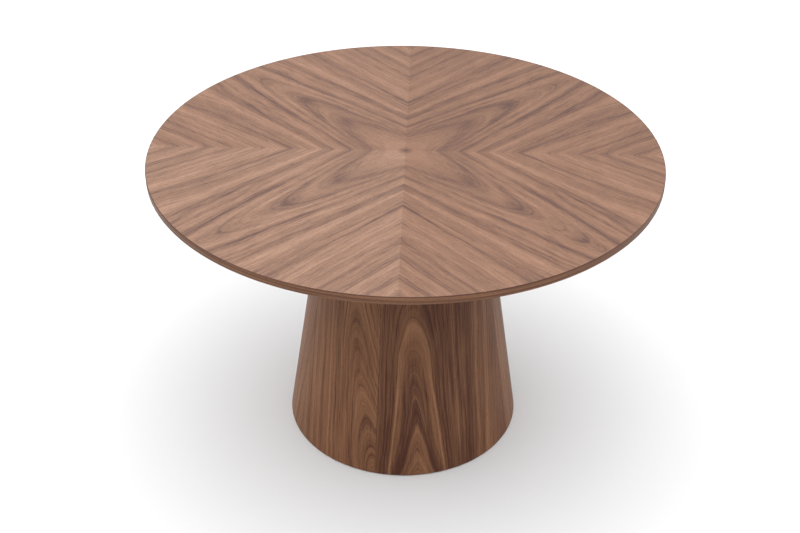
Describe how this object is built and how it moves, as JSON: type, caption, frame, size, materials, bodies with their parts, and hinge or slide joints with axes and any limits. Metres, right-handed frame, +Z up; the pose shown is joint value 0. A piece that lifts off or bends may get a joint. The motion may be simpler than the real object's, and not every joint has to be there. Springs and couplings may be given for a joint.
{
  "type": "tilt top table",
  "caption": "Round veneered tabletop that tilts upright on a hidden rear hinge, carried by a hollow drum pedestal flaring to the floor.",
  "frame": {"origin": "on the floor, under the centre of the tabletop and the pedestal", "axes": "+Z up, X along the hinge axis, -Y towards the side of the top that lifts and carries the slide bolt"},
  "size_m": [1.2, 1.2, 0.75],
  "materials": {
    "walnut_face": "satin",
    "walnut_drum": "satin",
    "walnut_edge": "satin",
    "fibreboard": "matte",
    "plywood": "matte",
    "softwood": "matte",
    "black_steel": "satin",
    "zinc_steel": "satin",
    "brass": "satin",
    "bronze": "satin",
    "cast_iron": "matte",
    "rubber": "matte",
    "nylon": "matte"
  },
  "bodies": {
    "pedestal": {"ballast_bolt_1": "zinc_steel", "ballast_bolt_2": "zinc_steel", "ballast_plate": "cast_iron", "bottom_board": "plywood", "bracket_bolt_1": "zinc_steel", "bracket_bolt_2": "zinc_steel", "bracket_bolt_3": "zinc_steel", "bracket_bolt_4": "zinc_steel", "drum_shell": "plywood", "drum_veneer": "walnut_drum", "former_ring": "plywood", "glide_nut_1": "zinc_steel", "glide_nut_2": "zinc_steel", "glide_nut_3": "zinc_steel", "glide_nut_4": "zinc_steel", "hinge_bracket_left": "black_steel", "hinge_bracket_right": "black_steel", "hinge_pin_left": "zinc_steel", "hinge_pin_right": "zinc_steel", "keeper_screw_1": "brass", "keeper_screw_2": "brass", "lock_keeper": "brass", "mechanism_deck": "plywood", "rib_1": "softwood", "rib_2": "softwood", "rib_3": "softwood", "rib_4": "softwood", "rim_pad_1": "rubber", "rim_pad_2": "rubber", "rim_pad_3": "rubber", "rim_pad_4": "rubber"},
    "tilting_top": {"arm_bush_left": "bronze", "arm_bush_right": "bronze", "arm_screw_1": "zinc_steel", "arm_screw_2": "zinc_steel", "arm_screw_3": "zinc_steel", "arm_screw_4": "zinc_steel", "back_veneer": "walnut_face", "board_screw_1": "zinc_steel", "board_screw_2": "zinc_steel", "board_screw_3": "zinc_steel", "board_screw_4": "zinc_steel", "edge_band": "walnut_edge", "face_leaf_back_left": "walnut_face", "face_leaf_back_right": "walnut_face", "face_leaf_front_left": "walnut_face", "face_leaf_front_right": "walnut_face", "hinge_arm_left": "black_steel", "hinge_arm_right": "black_steel", "lock_case": "brass", "lock_screw_1": "brass", "lock_screw_2": "brass", "mounting_board": "plywood", "top_core": "fibreboard"},
    "sliding_bolt": {"lock_bolt": "brass", "lock_knob": "brass"},
    "glide_foot_1": {"glide_1": "nylon"},
    "glide_foot_2": {"glide_2": "nylon"},
    "glide_foot_3": {"glide_3": "nylon"},
    "glide_foot_4": {"glide_4": "nylon"}
  },
  "joints": [
    {"name": "top_tilt", "type": "hinge", "parent": "pedestal", "child": "tilting_top", "pos_m": [0, 0.154, 0.642], "axis": [-1, 0, 0], "range_deg": [0, 85]},
    {"name": "lock_slide", "type": "slide", "parent": "tilting_top", "child": "sliding_bolt", "axis": [0, 1, 0], "range_m": [0, 0.024]},
    {"name": "glide_screw_1", "type": "slide", "parent": "pedestal", "child": "glide_foot_1", "axis": [0, 0, -1], "range_m": [0, 0.01]},
    {"name": "glide_screw_2", "type": "slide", "parent": "pedestal", "child": "glide_foot_2", "axis": [0, 0, -1], "range_m": [0, 0.01]},
    {"name": "glide_screw_3", "type": "slide", "parent": "pedestal", "child": "glide_foot_3", "axis": [0, 0, -1], "range_m": [0, 0.01]},
    {"name": "glide_screw_4", "type": "slide", "parent": "pedestal", "child": "glide_foot_4", "axis": [0, 0, -1], "range_m": [0, 0.01]}
  ]
}
